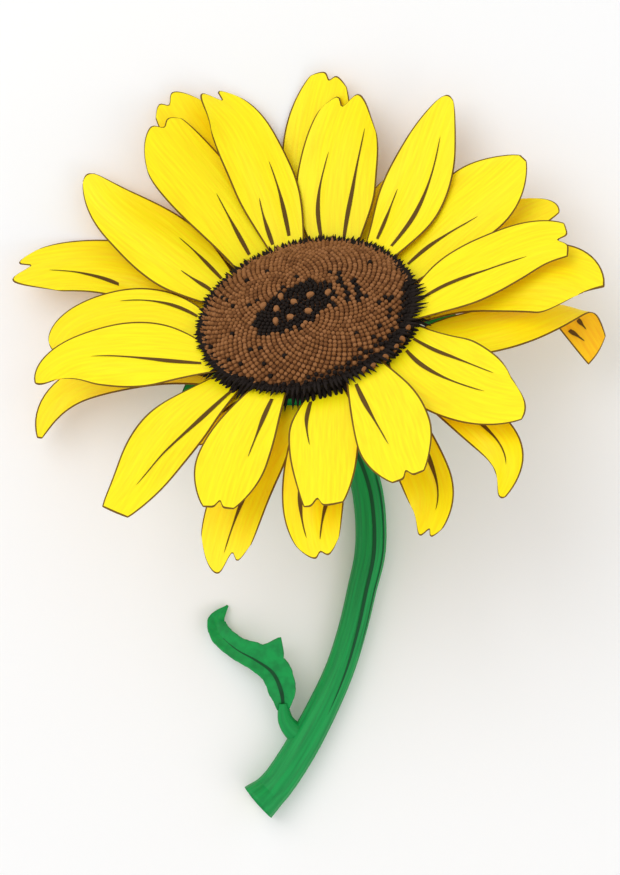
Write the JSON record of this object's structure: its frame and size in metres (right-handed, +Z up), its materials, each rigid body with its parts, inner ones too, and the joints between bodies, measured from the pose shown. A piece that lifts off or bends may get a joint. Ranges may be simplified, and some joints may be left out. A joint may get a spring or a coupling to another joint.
{
  "type": "cut sunflower",
  "caption": "Cut sunflower bloom lying face up on a short curved stem with a small toothed leaf at its foot, built as petals, disc, bracts, stem and leaf.",
  "frame": {"origin": "centre of the bounding box's footprint, on the plane the flower lies on", "axes": "+Z up from that plane, +Y from the cut end of the stem towards the far petals, +X to the right as seen from above with +Y away from the viewer"},
  "size_m": [0.2401, 0.3053, 0.1319],
  "materials": {
    "petal": "soft satin petal, bright yellow",
    "floret": "matt tight florets, warm brown",
    "heart": "matt tight buds, near black brown",
    "green": "matt leaf, mid green",
    "stem": "matt ribbed green stem"
  },
  "bodies": {
    "root": {"disc": "floret", "disc_heart": "heart", "receptacle": "green", "petal_front_01": "petal", "petal_front_02": "petal", "petal_front_03": "petal", "petal_front_04": "petal", "petal_front_05": "petal", "petal_front_06": "petal", "petal_front_07": "petal", "petal_front_08": "petal", "petal_front_09": "petal", "petal_front_10": "petal", "petal_front_11": "petal", "petal_front_12": "petal", "petal_front_13": "petal", "petal_front_14": "petal", "petal_back_01": "petal", "petal_back_02": "petal", "petal_back_03": "petal", "petal_back_04": "petal", "petal_back_05": "petal", "petal_back_06": "petal", "petal_back_07": "petal", "petal_back_08": "petal", "petal_back_09": "petal", "petal_back_10": "petal", "petal_back_11": "petal", "petal_back_12": "petal", "petal_back_13": "petal", "petal_back_14": "petal", "petal_back_15": "petal", "petal_back_16": "petal", "bract_01": "green", "bract_02": "green", "bract_03": "green", "bract_04": "green", "bract_05": "green", "bract_06": "green", "bract_07": "green", "bract_08": "green", "bract_09": "green", "bract_10": "green", "bract_11": "green", "bract_12": "green", "bract_13": "green", "bract_14": "green", "bract_15": "green", "bract_16": "green", "bract_17": "green", "bract_18": "green", "bract_19": "green", "bract_20": "green", "stem": "stem", "leaf_stalk": "stem", "leaf_blade": "green"}
  },
  "joints": []
}
